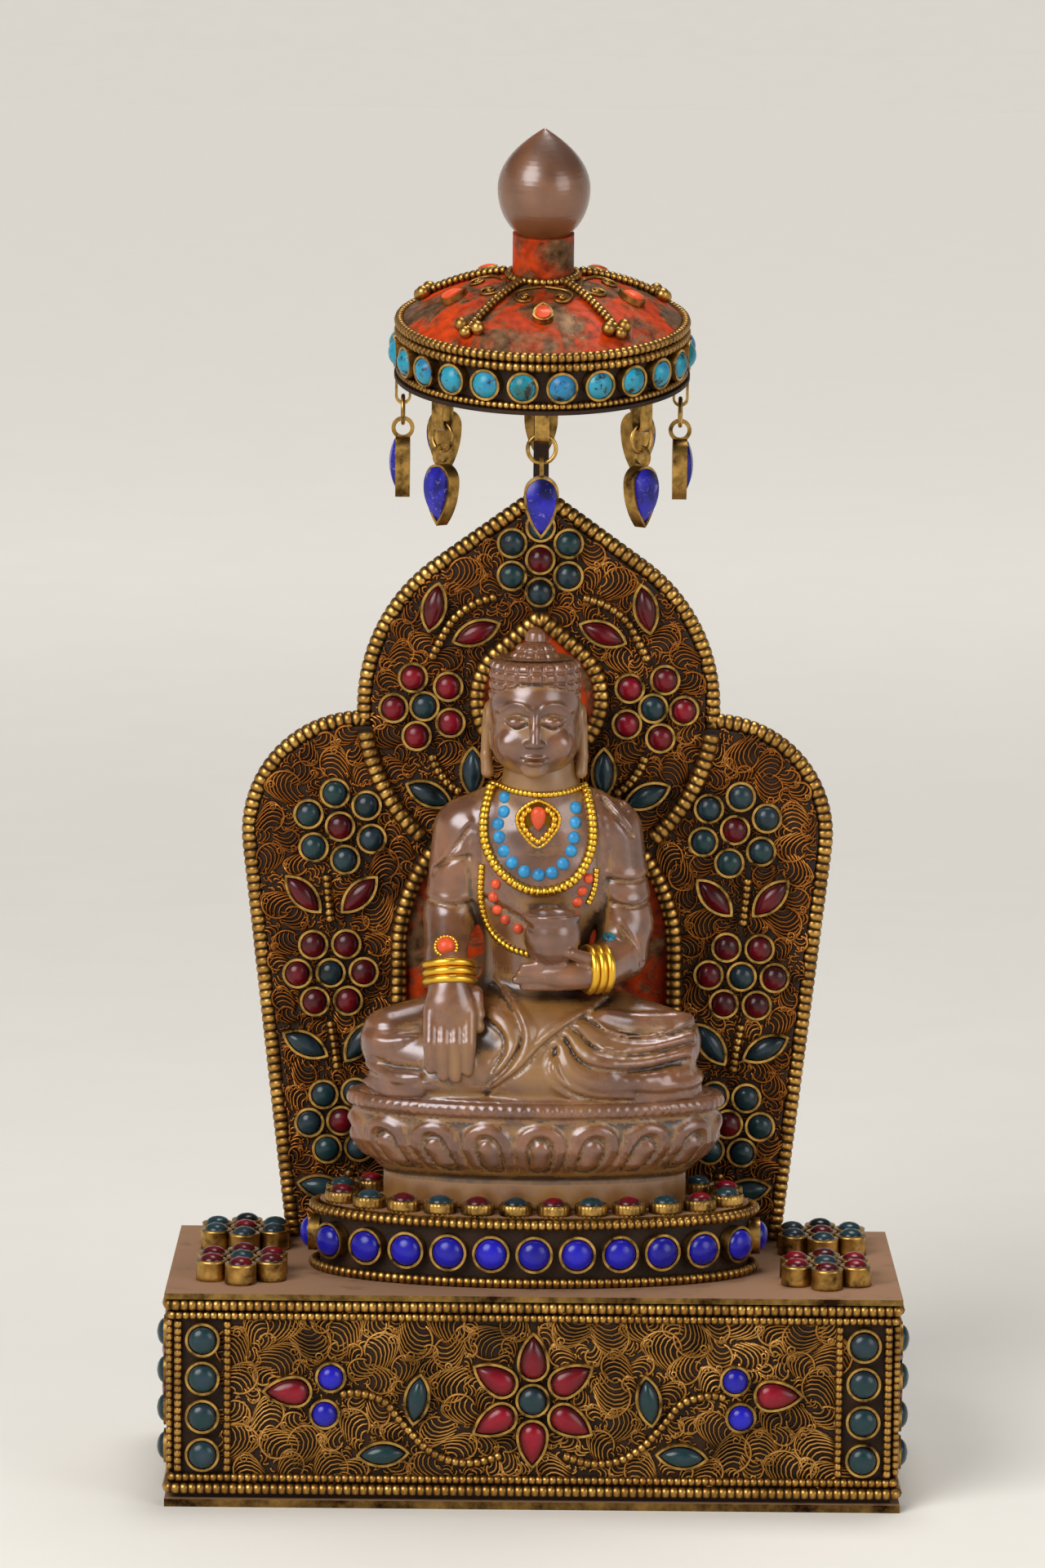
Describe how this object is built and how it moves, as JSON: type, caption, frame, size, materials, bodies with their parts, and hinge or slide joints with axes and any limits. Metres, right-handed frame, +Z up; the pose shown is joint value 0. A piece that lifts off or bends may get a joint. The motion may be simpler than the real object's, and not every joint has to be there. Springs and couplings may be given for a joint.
{
  "type": "jewelled table shrine",
  "caption": "Table-top shrine: crystal seated figure on a lotus and oval drum, jewelled box base, trefoil back plate and tilted canopy with hanging stone drops.",
  "frame": {"origin": "middle of the base's underside", "axes": "+X to the viewer's right, +Y to the back, +Z up"},
  "size_m": [0.152, 0.0899, 0.2764],
  "materials": {
    "gilt_brass": "worn gilding, beaded",
    "dark_gilt": "dark brown patina under filigree",
    "red_stone": "polished cabochon",
    "grey_green_agate": "polished cabochon",
    "lapis": "polished cabochon",
    "flecked_lapis": "polished, pale veins",
    "turquoise": "polished, dark matrix",
    "coral": "polished",
    "smoky_crystal": "carved, translucent, dusty recesses",
    "frosted_crystal": "frosted, translucent",
    "vermilion_paint": "worn paint on brown metal"
  },
  "bodies": {
    "shrine": {"base_box": "dark_gilt", "base_top_plate": "dark_gilt", "base_foot_plate": "dark_gilt", "base_beading": "gilt_brass", "base_stems": "gilt_brass", "base_bezels": "gilt_brass", "base_red_stones": "red_stone", "base_green_stones": "grey_green_agate", "base_blue_stones": "lapis", "drum_wall": "dark_gilt", "drum_top_plate": "dark_gilt", "drum_beading": "gilt_brass", "drum_bezels": "gilt_brass", "drum_blue_stones": "lapis", "drum_red_stones": "red_stone", "drum_green_stones": "grey_green_agate", "crystal_figure": "smoky_crystal", "back_plate": "dark_gilt", "niche_panel": "vermilion_paint", "plate_beading": "gilt_brass", "plate_stems": "gilt_brass", "plate_bezels": "gilt_brass", "plate_red_stones": "red_stone", "plate_green_stones": "grey_green_agate", "canopy_pole": "dark_gilt", "canopy_soffit": "dark_gilt", "canopy_band": "dark_gilt", "canopy_dome": "vermilion_paint", "canopy_beading": "gilt_brass", "canopy_bezels": "gilt_brass", "canopy_turquoise": "turquoise", "canopy_coral": "coral", "canopy_neck": "vermilion_paint", "canopy_finial": "frosted_crystal", "canopy_straps": "gilt_brass"},
    "link_1": {"ring_1": "gilt_brass"},
    "drop_1": {"drop_bezel_1": "gilt_brass", "drop_stone_1": "flecked_lapis"},
    "link_2": {"ring_2": "gilt_brass"},
    "drop_2": {"drop_bezel_2": "gilt_brass", "drop_stone_2": "flecked_lapis"},
    "link_3": {"ring_3": "gilt_brass"},
    "drop_3": {"drop_bezel_3": "gilt_brass", "drop_stone_3": "flecked_lapis"},
    "link_4": {"ring_4": "gilt_brass"},
    "drop_4": {"drop_bezel_4": "gilt_brass", "drop_stone_4": "flecked_lapis"},
    "link_5": {"ring_5": "gilt_brass"},
    "drop_5": {"drop_bezel_5": "gilt_brass", "drop_stone_5": "flecked_lapis"},
    "link_6": {"ring_6": "gilt_brass"},
    "drop_6": {"drop_bezel_6": "gilt_brass", "drop_stone_6": "flecked_lapis"},
    "link_7": {"ring_7": "gilt_brass"},
    "drop_7": {"drop_bezel_7": "gilt_brass", "drop_stone_7": "flecked_lapis"},
    "link_8": {"ring_8": "gilt_brass"},
    "drop_8": {"drop_bezel_8": "gilt_brass", "drop_stone_8": "flecked_lapis"}
  },
  "joints": [
    {"name": "ring_swing_1", "type": "hinge", "parent": "shrine", "child": "link_1", "pos_m": [0, -0.00407, 0.21534], "axis": [1, 0, 0], "range_deg": [-35, 35]},
    {"name": "drop_swing_1", "type": "hinge", "parent": "link_1", "child": "drop_1", "pos_m": [0, -0.00407, 0.20873], "axis": [1, 0, 0], "range_deg": [-40, 40]},
    {"name": "ring_swing_2", "type": "hinge", "parent": "shrine", "child": "link_2", "pos_m": [0.02022, 0.00415, 0.21694], "axis": [0.7071, 0.7071, 0], "range_deg": [-35, 35]},
    {"name": "drop_swing_2", "type": "hinge", "parent": "link_2", "child": "drop_2", "pos_m": [0.02022, 0.00415, 0.21033], "axis": [0.7071, 0.7071, 0], "range_deg": [-40, 40]},
    {"name": "ring_swing_3", "type": "hinge", "parent": "shrine", "child": "link_3", "pos_m": [0.0286, 0.024, 0.2208], "axis": [0, 1, 0], "range_deg": [-35, 35]},
    {"name": "drop_swing_3", "type": "hinge", "parent": "link_3", "child": "drop_3", "pos_m": [0.0286, 0.024, 0.21419], "axis": [0, 1, 0], "range_deg": [-40, 40]},
    {"name": "ring_swing_4", "type": "hinge", "parent": "shrine", "child": "link_4", "pos_m": [0.02022, 0.04385, 0.22466], "axis": [-0.7071, 0.7071, 0], "range_deg": [-35, 35]},
    {"name": "drop_swing_4", "type": "hinge", "parent": "link_4", "child": "drop_4", "pos_m": [0.02022, 0.04385, 0.21805], "axis": [-0.7071, 0.7071, 0], "range_deg": [-40, 40]},
    {"name": "ring_swing_5", "type": "hinge", "parent": "shrine", "child": "link_5", "pos_m": [0, 0.05207, 0.22626], "axis": [-1, 0, 0], "range_deg": [-35, 35]},
    {"name": "drop_swing_5", "type": "hinge", "parent": "link_5", "child": "drop_5", "pos_m": [0, 0.05207, 0.21965], "axis": [-1, 0, 0], "range_deg": [-40, 40]},
    {"name": "ring_swing_6", "type": "hinge", "parent": "shrine", "child": "link_6", "pos_m": [-0.02022, 0.04385, 0.22466], "axis": [-0.7071, -0.7071, 0], "range_deg": [-35, 35]},
    {"name": "drop_swing_6", "type": "hinge", "parent": "link_6", "child": "drop_6", "pos_m": [-0.02022, 0.04385, 0.21805], "axis": [-0.7071, -0.7071, 0], "range_deg": [-40, 40]},
    {"name": "ring_swing_7", "type": "hinge", "parent": "shrine", "child": "link_7", "pos_m": [-0.0286, 0.024, 0.2208], "axis": [0, -1, 0], "range_deg": [-35, 35]},
    {"name": "drop_swing_7", "type": "hinge", "parent": "link_7", "child": "drop_7", "pos_m": [-0.0286, 0.024, 0.21419], "axis": [0, -1, 0], "range_deg": [-40, 40]},
    {"name": "ring_swing_8", "type": "hinge", "parent": "shrine", "child": "link_8", "pos_m": [-0.02022, 0.00415, 0.21694], "axis": [0.7071, -0.7071, 0], "range_deg": [-35, 35]},
    {"name": "drop_swing_8", "type": "hinge", "parent": "link_8", "child": "drop_8", "pos_m": [-0.02022, 0.00415, 0.21033], "axis": [0.7071, -0.7071, 0], "range_deg": [-40, 40]}
  ]
}
